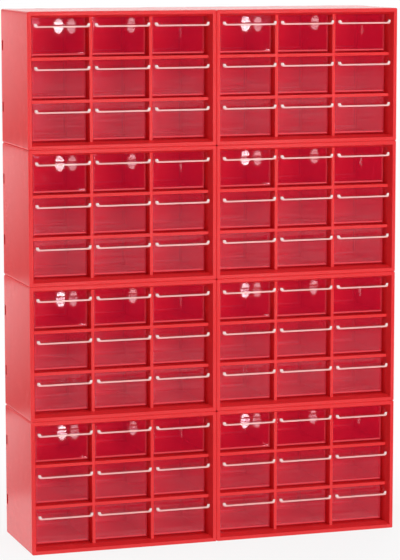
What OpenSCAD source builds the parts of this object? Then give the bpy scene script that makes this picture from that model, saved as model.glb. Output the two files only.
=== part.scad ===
// Stack of small-parts drawer casings: two columns of four casings, nine clear drawers in each.
// X runs to the right, Y to the back and Z up. The origin is under the middle of the stack.

/* [Casing] */
// Width of one casing over its side walls
casing_w = 306; // [270:1:340]
// Depth of one casing, from the front rim to the rear edge
casing_d = 166; // [150:1:200]
// Height of one casing
casing_h = 213; // [190:1:240]
// Thickness of the outer walls behind the rim
shell_t = 2.2; // [1.8:0.1:2.6]
// Thickness of the walls round each drawer cell
cell_wall = 1.6; // [1.4:0.1:1.8]
// Distance from the back of the cells to the rear edge of the casing
skirt_d = 14; // [12:0.5:16]
// Rounding of the long outer edges that run front to back
edge_r = 3; // [1.5:0.5:5]

/* [Front frame] */
// Width of the rim seen from the front
rim_w = 6; // [5.6:0.2:9]
// Rounding of the outer front edge of the rim
rim_r = 1.6; // [0.8:0.2:2.4]
// Width of the bars between the drawers
bar_w = 4.8; // [4.4:0.2:7]
// Distance that the bars stand back from the rim
bar_set_back = 12; // [6:1:16]
// Slope of the mouth: how much wider each of its sides is at the rim than at the bars
mouth_flare = 3.8; // [2:0.2:6]
// Thickness of the bars' front skin, ahead of the rear cores
bar_skin = 2.5; // [2:0.5:4]
// Thickness of the ribs that cross the rear cores
core_rib = 2; // [1.5:0.5:3]

/* [Drawer] */
// Distance of the drawer's front panel behind the rim
panel_set_back = 24; // [22:1:34]
// Clearance between a drawer and each side of its cell
side_gap = 0.5; // [0.3:0.1:1]
// Clearance between a drawer and the floor that it slides on
seat_gap = 0.2; // [0.1:0.1:0.4]
// Clearance above a drawer
top_gap = 1; // [0.5:0.1:2]
// Clearance behind a closed drawer
end_gap = 0.5; // [0.3:0.1:2]
// Thickness of the drawer's walls
drawer_wall = 1.6; // [1.2:0.1:2]
// Thickness of the drawer's floor
drawer_floor = 1.8; // [1.4:0.1:2.4]
// Outside rounding of the drawer's corners and bottom edges
drawer_r = 5; // [3:0.5:7]

/* [Handle] */
// Distance that the pull lip reaches forward of the panel
lip_reach = 24; // [14:1:24]
// Thickness of the lip and its two cheeks
lip_t = 1.8; // [1.5:0.1:2.2]
// Height of the underside of the lip below the drawer's top edge
lip_drop = 14; // [12:0.5:18]
// Height of the thicker band along the front of the lip
lip_band_h = 2.4; // [2:0.1:3.2]
// Depth of that band, front to back
lip_band_d = 2; // [1.6:0.2:3.2]
// Width of the rounded post at each end of the band
post_w = 5; // [3.5:0.5:7]
// Depth of a post, front to back
post_d = 5; // [3.5:0.5:7]
// Rounding where the lip turns up into its cheeks
lip_r = 5; // [4:0.5:6]
// Height of a cheek, and of its post, at the front of the lip
cheek_h = 6; // [5:0.5:8]
// Depth of a cheek along the drawer's top edge
cheek_top_d = 6; // [4:1:9]
// Height of the rib that holds a label card
label_rib_h = 1.2; // [0.8:0.2:1.6]
// Part of the panel's thickness that the rib's root goes into
label_rib_root = 0.8; // [0.5:0.1:0.9]
// Height of a label card, from the lip to that rib
label_h = 8.4; // [6:0.2:8.8]

/* [Cross divider] */
// Width of the slot for a loose cross divider
slot_w = 1.8; // [1.2:0.2:2.4]
// Size of the two ribs beside that slot
slot_rib = 1.2; // [0.8:0.2:1.6]

/* [Joining clips] */
// Width of a clip window in an outer wall, along the casing's rear edge
window_w = 16; // [12:0.5:20]
// Depth of a clip window, front to back
window_d = 7.5; // [6:0.5:8]
// Width of the wall left between a window and the rear edge
window_edge = 2.8; // [2:0.2:4]
// Clearance round a clip
clip_gap = 0.2; // [0.1:0.05:0.3]
// Thickness of a clip's two heads
clip_head_t = 2; // [1.5:0.1:3]
// Overlap of a head past each end of its window
clip_head_lap = 1.5; // [1:0.1:2.5]
// Distance from a side window to the nearer end of the side wall, as a share of the height
side_window_at = 0.27; // [0.15:0.01:0.35]
// Distance from an outer top window to the nearer side, as a share of the width
top_window_at = 0.2; // [0.15:0.01:0.3]

/* [Hidden] */
$fn = 48;
levels = 4;
rows = 3;
places = 3;
side_names = ["left", "right"];
row_names = ["bottom", "middle", "top"];
place_names = ["a", "b", "c"];
past = 1;

grid_edge = rim_w + mouth_flare;
grid_w = casing_w - 2 * grid_edge;
grid_h = casing_h - 2 * grid_edge;
cell_w = (grid_w - (places - 1) * bar_w) / places;
cell_h = (grid_h - (rows - 1) * bar_w) / rows;
cell_back = casing_d - skirt_d - cell_wall;
core_front = bar_set_back + bar_skin;

drawer_w = cell_w - 2 * side_gap;
drawer_h = cell_h - seat_gap - top_gap;
drawer_l = cell_back - end_gap - panel_set_back;
lip_z = drawer_h - lip_drop;

window_front = casing_d - window_edge - window_d;
side_windows = [side_window_at * casing_h, (1 - side_window_at) * casing_h];
top_windows = [top_window_at * casing_w, casing_w / 2, (1 - top_window_at) * casing_w];
clip_l = window_d - 2 * clip_gap;
clip_web = window_w - 2 * clip_gap;

function cell_left(place) = grid_edge + place * (cell_w + bar_w);
function cell_bottom(row) = grid_edge + row * (cell_h + bar_w);
function casing_left(side) = (side - 1) * casing_w;

// Where a rear core starts and ends across the bars: between the shell and a cell, or two cells
function core_from(n, bottoms, size) = n == 0 ? shell_t : bottoms[n - 1] + size + cell_wall;
function core_to(n, bottoms, size, whole) = n == len(bottoms) ? whole - shell_t : bottoms[n] - cell_wall;
// Where a rear core starts and ends along the bars: from the shell to a rib, or from rib to rib
function run_from(n, bottoms, size) = n == 0 ? shell_t : bottoms[n - 1] + (size + core_rib) / 2;
function run_to(n, bottoms, size, whole) =
    n == len(bottoms) ? whole - shell_t : bottoms[n] + (size - core_rib) / 2;

lefts = [for (place = [0 : places - 1]) cell_left(place)];
bottoms = [for (row = [0 : rows - 1]) cell_bottom(row)];

function casing_name(side, level) = str("casing_", side_names[side], "_", level + 1);
function drawer_name(level, row, place) =
    str("drawer_left_", level + 1, "_", row_names[row], "_", place_names[place]);
function drawer_row_name(level, row) = str("drawers_right_", level + 1, "_", row_names[row]);

// Extrudes an outline drawn in X and Z along Y
module along_y(length) {
    translate([0, length, 0]) rotate([90, 0, 0]) linear_extrude(length) children();
}

// Extrudes an outline drawn in Y and Z along X
module along_x(length) {
    rotate([90, 0, 90]) linear_extrude(length) children();
}

// Rectangle with its four corners rounded
module rounded_rect(w, h, r) {
    translate([r, 0]) square([w - 2 * r, h]);
    translate([0, r]) square([w, h - 2 * r]);
    for (x = [r, w - r], y = [r, h - r]) translate([x, y]) circle(r);
}

// Rectangle with its two lower corners rounded
module cradle_outline(w, h, r) {
    translate([r, 0]) square([w - 2 * r, h]);
    translate([0, r]) square([w, h - r]);
    for (x = [r, w - r]) translate([x, r]) circle(r);
}

// Outer block of a casing: long edges and front edges rounded, rear edges square
module casing_block() {
    intersection() {
        along_y(casing_d) rounded_rect(casing_w, casing_h, edge_r);
        linear_extrude(casing_h) cradle_outline(casing_w, casing_d, rim_r);
        along_x(casing_w) translate([0, casing_h]) rotate(-90) cradle_outline(casing_h, casing_d, rim_r);
    }
}

// One side of the mouth, across the opening in X and from front to back in Y
module mouth_outline(size) {
    polygon([
        [-mouth_flare, -past],
        [size + mouth_flare, -past],
        [size + mouth_flare, 0],
        [size, bar_set_back],
        [0, bar_set_back],
        [-mouth_flare, 0]
    ]);
}

// The space inside the rim ahead of the bars, narrowing from the rim to the cells
module mouth() {
    translate([grid_edge, 0, grid_edge])
        intersection() {
            translate([0, 0, -mouth_flare])
                linear_extrude(grid_h + 2 * mouth_flare) mouth_outline(grid_w);
            translate([grid_w + mouth_flare, 0, 0])
                rotate([0, -90, 0]) linear_extrude(grid_w + 2 * mouth_flare) mouth_outline(grid_h);
        }
}

// The nine cells, open at the front, and the mouth ahead of them
module cells() {
    mouth();
    for (x = lefts, z = bottoms)
        translate([x, bar_set_back - past, z]) cube([cell_w, cell_back - bar_set_back + past, cell_h]);
}

// The hollows that open at the rear: the space behind the cells and the cores inside the bars
module rear_cores() {
    translate([shell_t, casing_d - skirt_d, shell_t])
        cube([casing_w - 2 * shell_t, skirt_d + past, casing_h - 2 * shell_t]);
    core_l = casing_d - skirt_d - core_front + past;
    for (bar = [0 : places], run = [0 : rows]) {
        x = core_from(bar, lefts, cell_w);
        z = run_from(run, bottoms, cell_h);
        core_w = core_to(bar, lefts, cell_w, casing_w) - x;
        translate([x, core_front, z]) cube([core_w, core_l, run_to(run, bottoms, cell_h, casing_h) - z]);
    }
    for (bar = [0 : rows], run = [0 : places]) {
        x = run_from(run, lefts, cell_w);
        z = core_from(bar, bottoms, cell_h);
        core_h = core_to(bar, bottoms, cell_h, casing_h) - z;
        translate([x, core_front, z]) cube([run_to(run, lefts, cell_w, casing_w) - x, core_l, core_h]);
    }
}

// Windows through the outer walls near the rear edge, for the joining clips
module clip_windows() {
    for (z = side_windows, x = [-past, casing_w - shell_t - past])
        translate([x, window_front, z - window_w / 2]) cube([shell_t + 2 * past, window_d, window_w]);
    for (x = top_windows, z = [-past, casing_h - shell_t - past])
        translate([x - window_w / 2, window_front, z]) cube([window_w, window_d, shell_t + 2 * past]);
}

// One moulded casing in its place in the stack
module casing(side, level) {
    color("#d8302c")
        translate([casing_left(side), -casing_d / 2, level * casing_h])
            difference() {
                casing_block();
                cells();
                rear_cores();
                clip_windows();
            }
}

// Rounded tub without a hollow: vertical corners and bottom edges share one radius
module tub(w, l, h, r) {
    intersection() {
        linear_extrude(h) rounded_rect(w, l, r);
        along_y(l) cradle_outline(w, h, r);
        along_x(w) cradle_outline(l, h, r);
    }
}

// Cross-section of the handle: a lip that turns up at both ends
module lip_outline(end_w, lip_h) {
    difference() {
        cradle_outline(drawer_w, lip_drop, lip_r);
        translate([end_w, lip_h]) cradle_outline(drawer_w - 2 * end_w, lip_drop, lip_r - lip_t);
    }
}

// Side view of the handle, drawn forward of the panel: low at the front, up to the drawer's top behind
module cheek_outline() {
    polygon([
        [0, 0],
        [lip_reach + drawer_r, 0],
        [lip_reach + drawer_r, lip_drop],
        [lip_reach - cheek_top_d, lip_drop],
        [lip_r, cheek_h],
        [0, cheek_h]
    ]);
}

// Pull lip with its cheeks, joined to the panel and the side walls
module handle() {
    translate([0, -lip_reach, lip_z])
        intersection() {
            union() {
                along_y(lip_reach + drawer_r) lip_outline(lip_t, lip_t);
                along_y(lip_band_d) lip_outline(post_w, lip_band_h);
                along_y(post_d) lip_outline(post_w, lip_t);
            }
            along_x(drawer_w) cheek_outline();
            linear_extrude(lip_drop) cradle_outline(drawer_w, lip_reach + drawer_r, lip_r);
        }
}

// Rib across the panel that holds the top edge of a label card
module label_rib() {
    translate([lip_t, -label_rib_h, lip_z + lip_t + label_h])
        cube([drawer_w - 2 * lip_t, label_rib_h + label_rib_root * drawer_wall, label_rib_h]);
}

// Two pairs of ribs, one on each side wall, with a slot between them for a cross divider
module divider_slots() {
    rib_h = drawer_h - drawer_r - drawer_wall;
    for (x = [drawer_wall / 2, drawer_w - drawer_wall - slot_rib], side = [-1, 1])
        translate([x, (drawer_l - slot_rib + side * (slot_w + slot_rib)) / 2, drawer_floor])
            cube([slot_rib + drawer_wall / 2, slot_rib, rib_h]);
}

// One clear drawer, with its front panel at Y = 0 and its lower left corner at the origin
module drawer_body() {
    difference() {
        union() {
            tub(drawer_w, drawer_l, drawer_h, drawer_r);
            handle();
            label_rib();
        }
        translate([drawer_wall, drawer_wall, drawer_floor])
            tub(drawer_w - 2 * drawer_wall, drawer_l - 2 * drawer_wall, drawer_h, drawer_r - drawer_wall);
    }
    divider_slots();
}

// One drawer closed in its cell
module drawer(side, level, row, place) {
    color("#f2c4c2", 0.5)
        translate([
            casing_left(side) + cell_left(place) + side_gap,
            panel_set_back - casing_d / 2,
            level * casing_h + cell_bottom(row) + seat_gap
        ])
            drawer_body();
}

// Snap clip with a head at each end, centred on the seam between two walls that lie in the YZ plane
module clip() {
    web_half = shell_t + clip_gap;
    head_w = clip_web + 2 * clip_head_lap;
    translate([0, window_front + clip_gap - casing_d / 2, 0])
        along_y(clip_l) {
            translate([-web_half, -clip_web / 2]) square([2 * web_half, clip_web]);
            for (x = [-web_half - clip_head_t, web_half])
                translate([x, -head_w / 2]) square([clip_head_t, head_w]);
        }
}

// Clips across the seam between the two columns
module side_clips() {
    color("#b81f22")
        for (level = [0 : levels - 1], z = side_windows)
            translate([0, 0, level * casing_h + z]) clip();
}

// Clips across the seams between the levels
module stack_clips() {
    color("#b81f22")
        for (side = [0, 1], level = [1 : levels - 1], x = top_windows)
            translate([casing_left(side) + x, 0, level * casing_h]) rotate([0, 90, 0]) clip();
}

for (side = [0, 1], level = [0 : levels - 1])
    casing(side, level);
for (level = [0 : levels - 1], row = [0 : rows - 1], place = [0 : places - 1])
    drawer(0, level, row, place);
for (level = [0 : levels - 1], row = [0 : rows - 1])
    for (place = [0 : places - 1]) drawer(1, level, row, place);
side_clips();
stack_clips();
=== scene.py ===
"""Looks for the stack of moulded drawer casings: plastics, lamps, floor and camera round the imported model."""

import math

import bpy
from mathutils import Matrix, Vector


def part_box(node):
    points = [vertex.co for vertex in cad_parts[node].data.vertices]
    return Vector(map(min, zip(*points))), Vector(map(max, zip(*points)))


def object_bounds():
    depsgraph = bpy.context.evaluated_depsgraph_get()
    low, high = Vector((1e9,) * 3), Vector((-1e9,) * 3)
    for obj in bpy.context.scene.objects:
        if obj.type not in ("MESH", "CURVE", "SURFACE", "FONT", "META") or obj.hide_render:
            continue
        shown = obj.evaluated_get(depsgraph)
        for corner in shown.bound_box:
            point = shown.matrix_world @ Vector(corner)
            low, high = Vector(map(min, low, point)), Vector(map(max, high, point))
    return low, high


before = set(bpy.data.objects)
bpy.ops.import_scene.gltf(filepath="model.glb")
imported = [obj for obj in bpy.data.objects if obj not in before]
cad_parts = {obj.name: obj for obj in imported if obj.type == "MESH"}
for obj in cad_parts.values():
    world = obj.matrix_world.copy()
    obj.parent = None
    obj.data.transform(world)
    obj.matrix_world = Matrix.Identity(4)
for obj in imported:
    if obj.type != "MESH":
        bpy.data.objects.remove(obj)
cad_low, cad_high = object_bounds()

# All lengths are in metres, in the stack's own frame
STACK_HEIGHT = cad_high.z - cad_low.z
CASING_HEIGHT = STACK_HEIGHT / 4
CASING_WIDTH = (cad_high.x - cad_low.x) / 2
LEVELS = (1, 2, 3, 4)
COLUMN_STARTS = (-CASING_WIDTH, 0.0)

drawer_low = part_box("drawer_left_1_top_a")[0]
BAND_BACK = drawer_low.y + 0.0022  # rear of the band along a pull's front edge
PANEL_FRONT = drawer_low.y + 0.024
PANEL_BACK = PANEL_FRONT + 0.004
RED_GLOW_START, RED_GLOW_FULL = PANEL_FRONT - 0.014, PANEL_FRONT - 0.002  # places in the room, not on the drawer, for a cell's painted red glow
GRID_EDGE = 0.0098  # a casing's underside to its lowest cell
ROW_PITCH = 0.06607  # a cell and the bar above it
POST_START = 0.738  # share of that pitch at which a pull's posts rise from its band

CARD_FRONT = -0.5  # plane of the cloth that the drawers mirror
LAMP_GAP = 0.002  # from that cloth to the small lamps before it
FLOOR_GAP = 0.0005  # from the floor to the part of the cloth that lies on it

PALE_RED, DEEP_RED = (0.84, 0.029, 0.033), (0.79, 0.024, 0.028)
PALE_CLIP, DEEP_CLIP = (0.60, 0.020, 0.024), (0.54, 0.015, 0.019)
# Painted red glow of a cell on a drawer that stands in it: a red layer, red milk and a red through-colour
PAINTED_RED_GLOW = (0.86, 0.009, 0.055, 1)
MILK_IN_ROOM, MILK_RED_GLOW_IN_CELL = (0.93, 0.84, 0.86), (0.98, 0.14, 0.17)
WALL_IN_ROOM, WALL_RED_GLOW_IN_CELL = (0.985, 0.985, 0.985, 1), (1, 0.91, 0.975, 1)
WALL_TO_LAMPS = (1, 0.98, 0.985, 1)
# Painted highlights: the pale band along the front edge of a pull, paler at its posts
BAND_HIGHLIGHT, POST_HIGHLIGHT = (0.97, 0.58, 0.55), (0.99, 0.90, 0.88)
MIRROR_TINT = (1, 0.97, 0.97, 1)
RED_GLOW_SHARE, BAND_SHARE = 0.22, 0.85  # share of the panel's painted red glow and of the band, a painted highlight, over what is behind
FLOOR_GREY = (0.86, 0.86, 0.86, 1)
WHITE = (1, 1, 1, 1)

# Reflections in the top drawers of every casing: from the column's left edge, down from the casing's top, half width,
# half height, strength
GLINTS = [
    (0.0560, 0.0235, 0.0086, 0.0130, 16.0),
    (0.0765, 0.0235, 0.0076, 0.0130, 5.5),
    (0.1736, 0.0235, 0.0076, 0.0130, 5.5),
    (0.2540, 0.0340, 0.0011, 0.0100, 3.0),
    (0.0935, 0.0655, 0.0075, 0.0010, 14.0),
]

# Name, place, width and height, watts, whether gloss mirrors it
SOFTBOXES = [
    ("front_box", (0.9, -3.85, 0.75), (1.6, 1.5), 93, False),
    ("left_box", (-2.6, 0.4, 1.3), (1.2, 1.6), 41, False),
    ("top_box", (0.2, -0.7, 2.9), (2.0, 1.2), 12, True),
    ("rear_box", (1.9, 2.9, 1.4), (1.6, 1.6), 60, False),
]
ROOM_LEVEL = 0.2  # light from all round, on surfaces
FLAT = 0.9999  # a normal this near to an axis belongs to a flat face


class Value:
    """A shader socket that takes part in Python expressions. Each operator adds its Math node."""

    def __init__(self, finish, socket):
        self.finish = finish
        self.socket = socket

    def _math(self, operation, *terms):
        return self.finish.node("ShaderNodeMath", {"operation": operation}, dict(enumerate(terms)))

    def __add__(self, other):
        return self._math("ADD", self, other)

    def __mul__(self, other):
        return self._math("MULTIPLY", self, other)

    def __sub__(self, other):
        return self._math("SUBTRACT", self, other)

    def __rsub__(self, other):
        return self._math("SUBTRACT", other, self)

    def __truediv__(self, other):
        return self._math("DIVIDE", self, other)

    def __pow__(self, other):
        return self._math("POWER", self, other)

    def __abs__(self):
        return self._math("ABSOLUTE", self)

    def __lt__(self, other):
        return self._math("LESS_THAN", self, other)

    def __gt__(self, other):
        return self._math("GREATER_THAN", self, other)

    __radd__ = __add__
    __rmul__ = __mul__

    def fraction(self):
        return self._math("FRACT", self)

    def clamp(self):
        return self.finish.node("ShaderNodeClamp", {}, {"Value": self})

    def ranged(self, low, high, to_low=0.0, to_high=1.0, ease="LINEAR"):
        """Goes from to_low at low to to_high at high, and stays level beyond them."""
        return self.finish.node(
            "ShaderNodeMapRange",
            {"interpolation_type": ease},
            {"Value": self, "From Min": low, "From Max": high, "To Min": to_low, "To Max": to_high},
        )


class Finish:
    """One node material, or the node tree that is passed."""

    def __init__(self, name, tree=None):
        if tree is None:
            self.material = bpy.data.materials.new(name)
            self.material.use_nodes = True
            tree = self.material.node_tree
        self.tree = tree
        self.tree.nodes.clear()

    def node(self, kind, settings, sockets, output=0):
        """Adds a node: its settings first, then the values or links of its sockets."""
        made = self.tree.nodes.new(kind)
        for key, value in settings.items():
            setattr(made, key, value)
        for key, value in sockets.items():
            if isinstance(value, Value):
                self.tree.links.new(value.socket, made.inputs[key])
            else:
                made.inputs[key].default_value = value
        return Value(self, made.outputs[output]) if len(made.outputs) else None

    def place(self):
        """The point in the piece's own frame. With the drawers in, that is the stack's frame."""
        return self.node("ShaderNodeTexCoord", {}, {}, "Object")

    def geometry(self, output):
        return self.node("ShaderNodeNewGeometry", {}, {}, output)

    def along(self, vector, axis):
        return self.node("ShaderNodeSeparateXYZ", {}, {0: vector}, axis)

    def noise(self, place, scale, detail, distortion=0.0):
        """Noise from 0 to 1, about 0.5 on average."""
        sockets = {"Vector": place, "Scale": scale, "Detail": detail, "Distortion": distortion}
        return self.node("ShaderNodeTexNoise", {}, sockets)

    def colour_between(self, share, low, high):
        """The Mix node has a set of sockets per data type: for colours, inputs 6 and 7 and output 2."""
        return self.node("ShaderNodeMix", {"data_type": "RGBA"}, {0: share, 6: (*low, 1), 7: (*high, 1)}, 2)

    def bump(self, height, depth, strength, under=None):
        sockets = {"Height": height, "Distance": depth, "Strength": strength}
        if under is not None:
            sockets["Normal"] = under
        return self.node("ShaderNodeBump", {}, sockets)

    def plastic(self, sockets):
        return self.node("ShaderNodeBsdfPrincipled", {}, sockets)

    def see_through(self, colour):
        return self.node("ShaderNodeBsdfTransparent", {}, {"Color": colour})

    def glow(self, colour, strength=1.0):
        return self.node("ShaderNodeEmission", {}, {"Color": colour, "Strength": strength})

    def shaders_mixed(self, share, first, second):
        return self.node("ShaderNodeMixShader", {}, {0: share, 1: first, 2: second})

    def surface(self, shader):
        self.node("ShaderNodeOutputMaterial", {}, {"Surface": shader})
        return self.material


def moulded_red(name, pale, deep, roughness, grain_depth):
    """Opaque satin plastic: faint flow marks in the colour, shallow sink in the walls and a fine mould grain."""
    red = Finish(name)
    place = red.place()
    flow = red.noise(place, scale=9.0, detail=3.0, distortion=0.8)
    sink = red.noise(place, scale=26.0, detail=1.0)
    grain = red.noise(place, scale=1400.0, detail=2.0)
    sunk = red.bump(sink, depth=0.0002, strength=0.25)
    return red.surface(
        red.plastic(
            {
                "Base Color": red.colour_between(flow, deep, pale),
                "Roughness": roughness + 0.04 * (flow - 0.5) + 0.08 * (grain - 0.5),
                "Normal": red.bump(grain, depth=grain_depth, strength=0.35, under=sunk),
                "IOR": 1.5,
            }
        )
    )


def clear_styrene(name):
    """Clear plastic: open to the eye and to lamps, a mirror at a low angle and faintly milky, more so along its rounded
    edges, where that is also a painted highlight. What stands in a cell carries a painted red glow of the walls round
    it. The strip along the front edge of the pull is satin and pale: a painted highlight."""
    clear = Finish(name)
    place = clear.place()
    depth = clear.along(place, "Y")
    haze = clear.noise(place, scale=210.0, detail=3.0)
    slant = clear.node("ShaderNodeLayerWeight", {}, {"Blend": 0.5}, "Facing")
    # 1 where the drawer stands in its cell: the share of that cell's painted red glow
    red_glow_in_cell = clear.along(clear.geometry("Position"), "Y").ranged(RED_GLOW_START, RED_GLOW_FULL)
    # forward is 1 on a panel's face and 0 on a side wall, upward is 1 on a floor
    normal = clear.geometry("Normal")
    forward = abs(clear.along(normal, "Y"))
    upward = abs(clear.along(normal, "Z"))

    # The wall that the eye looks through. In its cell it carries a painted red glow: a red through-colour, and on the
    # panel a thin red layer.
    open_wall = clear.shaders_mixed(red_glow_in_cell, clear.see_through(WALL_IN_ROOM), clear.see_through(WALL_RED_GLOW_IN_CELL))
    red_glow = clear.plastic({"Base Color": PAINTED_RED_GLOW, "Roughness": 0.4, "Specular IOR Level": 0.0})
    on_panel = depth < PANEL_BACK
    with_red_glow = clear.shaders_mixed(RED_GLOW_SHARE * on_panel * forward * red_glow_in_cell, open_wall, red_glow)

    # Gloss, with faint level streaks
    stretched = clear.node("ShaderNodeMapping", {}, {"Vector": place, "Scale": (14, 14, 420)})
    mirroring = clear.noise(stretched, scale=1.0, detail=3.0).ranged(0.35, 0.65, 0.020, 0.044)
    gloss = clear.plastic({"Base Color": MIRROR_TINT, "Metallic": 1.0, "Roughness": 0.03})
    polished = clear.shaders_mixed(mirroring + 0.6 * slant**6 * (1 - 0.5 * upward), with_red_glow, gloss)

    # Milk where a wall is seen at a low angle, and a painted highlight on the roundings of the panel, made as milk. In
    # a cell both take the painted red glow.
    rounding_highlight = forward.ranged(0.999, 0.985) * forward.ranged(0.80, 0.90) * (0.22 + 0.4 * upward.ranged(0.02, 0.1))
    milk_and_glow_colour = clear.colour_between(red_glow_in_cell, MILK_IN_ROOM, MILK_RED_GLOW_IN_CELL)
    milk_and_highlight = clear.plastic({"Base Color": milk_and_glow_colour, "Roughness": 0.3})
    cloud_and_highlight = 0.004 * haze + 0.35 * slant**4 * (1 - 0.8 * upward) + rounding_highlight
    cloudy_and_highlit = clear.shaders_mixed(cloud_and_highlight.clamp(), polished, milk_and_highlight)

    # Lamps shine through all of this
    lamp_ray = clear.node("ShaderNodeLightPath", {}, {}, "Is Shadow Ray")
    wall = clear.shaders_mixed(lamp_ray, cloudy_and_highlit, clear.see_through(WALL_TO_LAMPS))

    # The band of the pull: satin, its pale colour a painted highlight, paler still at the posts
    in_level = (clear.along(place, "Z") / CASING_HEIGHT).fraction() * CASING_HEIGHT
    in_row = ((in_level - GRID_EDGE) / ROW_PITCH).fraction()
    band_highlight_tint = clear.colour_between(in_row > POST_START, BAND_HIGHLIGHT, POST_HIGHLIGHT)
    band = clear.plastic({"Base Color": band_highlight_tint, "Roughness": 0.16 + 0.08 * haze, "IOR": 1.5})
    return clear.surface(clear.shaders_mixed(BAND_SHARE * (depth < BAND_BACK), wall, band))


def dress(mesh, material):
    mesh.materials.clear()
    mesh.materials.append(material)


def shade_rounded_faces(mesh):
    """Smooth shading on the roundings. Faces square to an axis stay flat, so that they mirror without a bend."""
    normals = [0.0] * (3 * len(mesh.polygons))
    mesh.polygons.foreach_get("normal", normals)
    slopes = zip(normals[0::3], normals[1::3], normals[2::3])
    mesh.polygons.foreach_set("use_smooth", [max(abs(x), abs(y), abs(z)) < FLAT for x, y, z in slopes])


def seen_directly(finish):
    """1 for a ray that shows the background: straight, mirrored or through clear plastic."""
    kinds = ("Is Camera Ray", "Is Glossy Ray", "Is Transmission Ray")
    straight, mirrored, through = [finish.node("ShaderNodeLightPath", {}, {}, kind) for kind in kinds]
    return (straight + mirrored + through).clamp()


def circle(sides):
    """Cosine and sine at even steps round a circle."""
    turns = [2 * math.pi * n / sides for n in range(sides)]
    return [(math.cos(turn), math.sin(turn)) for turn in turns]


def pale_floor():
    """Round floor at the foot of the stack. It keeps the stack's shadow and fades to white away from it."""
    reach, sides = 40.0, 64
    mesh = bpy.data.meshes.new("floor")
    mesh.from_pydata([(reach * c, reach * s, 0.0) for c, s in circle(sides)], [], [list(range(sides))])
    floor = bpy.data.objects.new("floor", mesh)
    bpy.context.scene.collection.objects.link(floor)

    card = Finish("floor_card")
    matt = card.node("ShaderNodeBsdfDiffuse", {}, {"Color": FLOOR_GREY})
    distance = card.node("ShaderNodeVectorMath", {"operation": "LENGTH"}, {0: card.place()}, "Value")
    # The share of plain white grows outwards from the foot of the stack
    away = distance.ranged(0.3, 0.8, 0.86, 1.0, ease="SMOOTHSTEP")
    mesh.materials.append(card.surface(card.shaders_mixed(away * seen_directly(card), matt, card.glow(WHITE))))


def room_light(to_surfaces):
    """White surroundings as seen and mirrored, and a plain level of light on surfaces."""
    world = bpy.data.worlds.new("studio")
    bpy.context.scene.world = world
    world.use_nodes = True
    studio = Finish("studio", world.node_tree)
    strength = to_surfaces + (1 - to_surfaces) * seen_directly(studio)
    sky = studio.node("ShaderNodeBackground", {}, {"Color": WHITE, "Strength": strength})
    studio.node("ShaderNodeOutputWorld", {}, {"Surface": sky})


def softbox(name, at, size, watts, mirrored):
    """A rectangular lamp, out of the camera's sight, that faces the middle of the stack."""
    light = bpy.data.lights.new(name, "AREA")
    light.shape = "RECTANGLE"
    light.size, light.size_y = size
    light.energy = watts
    lamp = bpy.data.objects.new(name, light)
    lamp.location = at
    lamp.rotation_euler = (Vector((0, 0, STACK_HEIGHT / 2)) - Vector(at)).to_track_quat("-Z", "Y").to_euler()
    lamp.visible_camera = False
    lamp.visible_glossy = mirrored
    bpy.context.scene.collection.objects.link(lamp)


def only_mirrored(name, corners, faces, material):
    """A card or lamp that shows in gloss and clear plastic alone."""
    mesh = bpy.data.meshes.new(name)
    mesh.from_pydata(corners, [], faces)
    mesh.materials.append(material)
    prop = bpy.data.objects.new(name, mesh)
    bpy.context.scene.collection.objects.link(prop)
    prop.visible_camera = prop.visible_diffuse = prop.visible_shadow = prop.visible_volume_scatter = False


def upright(left, right, depth, low, top):
    """The corners of an upright card, square to the depth of the stack."""
    return [(left, depth, low), (right, depth, low), (right, depth, top), (left, depth, top)]


def camera_at_photo_angle():
    """The viewpoint that lines the casings' corners up with the photograph."""
    data = bpy.data.cameras.new("camera")
    data.sensor_width = 36.0
    data.lens = 163.8
    down, roll, right = 7.697, 0.051, 18.170  # degrees
    camera = bpy.data.objects.new("camera", data)
    camera.location = (-1.2754, -3.8858, 0.9670)
    camera.rotation_euler = (math.radians(90 - down), math.radians(roll), math.radians(-right))
    bpy.context.scene.collection.objects.link(camera)
    bpy.context.scene.camera = camera
    return camera.location


def on_card(eye, x, z):
    """The point of the front card that the eye sees mirrored in a drawer's panel at x, z."""
    share = (PANEL_FRONT - CARD_FRONT) / (PANEL_FRONT - eye.y)
    return x + share * (x - eye.x), z + share * (z - eye.z)


def front_card(eye):
    """Cloth in front of the stack and on the floor there. At each level it is dark where the top drawers mirror it, and
    pale for the rows below."""
    left, right, near, top = -0.6, 1.3, -0.15, 1.3
    folds = ((CARD_FRONT, top), (CARD_FRONT, FLOOR_GAP), (near, FLOOR_GAP))
    corners = [(x, y, z) for y, z in folds for x in (left, right)]
    cloth = Finish("front_cloth")
    low, high = on_card(eye, 0, 0)[1], on_card(eye, 0, CASING_HEIGHT)[1]
    level = ((cloth.along(cloth.place(), "Z") - low) / (high - low)).fraction()
    dark, pale = 0.02, 0.74
    grey = level.ranged(0.72, 0.38, dark, pale, ease="SMOOTHSTEP")
    only_mirrored("front_card", corners, [(0, 1, 3, 2), (2, 3, 5, 4)], cloth.surface(cloth.glow(grey)))


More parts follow.
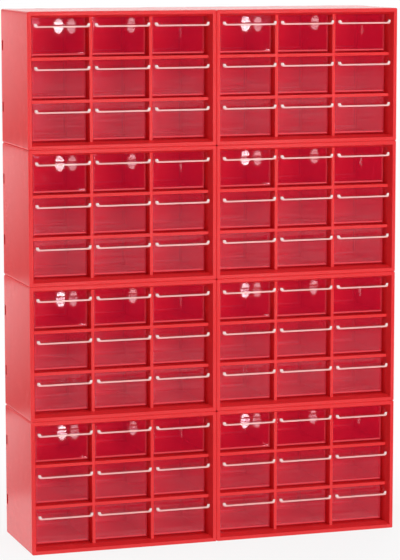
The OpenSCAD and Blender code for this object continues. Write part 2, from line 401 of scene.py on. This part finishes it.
def side_card(eye):
    """Cloth behind the left side of the stack. The side walls mirror it: pale at the top of each level and at the rear,
    darker below and towards the front rim."""
    left, right, back, top = -0.9, -0.31, 0.35, 1.1
    cloth = Finish("side_cloth")
    place = cloth.place()
    # Height on the side wall at which the eye sees the place mirrored, in casings
    share = back / -eye.y
    level = (cloth.along(place, "Z") + share * eye.z) / (CASING_HEIGHT * (1 + share))
    # The rear of the wall mirrors the right-hand part of the cloth
    rear = cloth.along(place, "X").ranged(-0.46, -0.36, 0.35, 1.0, ease="SMOOTHSTEP")
    grey = (0.25 + 0.9 * level.fraction()) * rear
    only_mirrored("side_card", upright(left, right, back, 0, top), [(0, 1, 2, 3)], cloth.surface(cloth.glow(grey)))


def back_card():
    """Pale cloth behind the top of the stack, for the sheen on the top walls."""
    left, right, back, low, top = -0.9, 1.2, 0.6, STACK_HEIGHT + 0.005, 1.6
    cloth = Finish("back_cloth")
    material = cloth.surface(cloth.glow(WHITE, 1.3))
    only_mirrored("back_card", upright(left, right, back, low, top), [(0, 1, 2, 3)], material)


def glint_lamps(eye):
    """Small round and slit lamps, each placed for one reflection in every casing."""
    sides, lamp_depth = 24, CARD_FRONT + LAMP_GAP
    for number, (across, down, half_width, half_height, strength) in enumerate(GLINTS):
        corners = []
        for column in COLUMN_STARTS:
            for level in LEVELS:
                x, z = on_card(eye, column + across, level * CASING_HEIGHT - down)
                corners += [(x + half_width * c, lamp_depth, z + half_height * s) for c, s in circle(sides)]
        faces = [list(range(start, start + sides)) for start in range(0, len(corners), sides)]
        lamp = Finish(f"glint_{number}")
        only_mirrored(f"glints_{number}", corners, faces, lamp.surface(lamp.glow(WHITE, strength)))


casing_red = moulded_red("casing_red", PALE_RED, DEEP_RED, roughness=0.26, grain_depth=0.00005)
clip_red = moulded_red("clip_red", PALE_CLIP, DEEP_CLIP, roughness=0.42, grain_depth=0.00008)
drawer_clear = clear_styrene("drawer_clear")

for name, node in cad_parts.items():
    if name.startswith("casing"):
        dress(node.data, casing_red)
    elif name.startswith("drawer"):
        dress(node.data, drawer_clear)
    else:
        dress(node.data, clip_red)
    shade_rounded_faces(node.data)

pale_floor()
room_light(ROOM_LEVEL)
eye = camera_at_photo_angle()
front_card(eye)
side_card(eye)
back_card()
glint_lamps(eye)
for lamp in SOFTBOXES:
    softbox(*lamp)
bpy.context.scene.view_settings.view_transform = "Standard"

# A ray crosses a drawer's walls several times between two bounces in a cell
paths = bpy.context.scene.cycles
paths.max_bounces = 16
paths.transmission_bounces = 8
paths.transparent_max_bounces = 96
paths.diffuse_bounces = 8
paths.glossy_bounces = 8
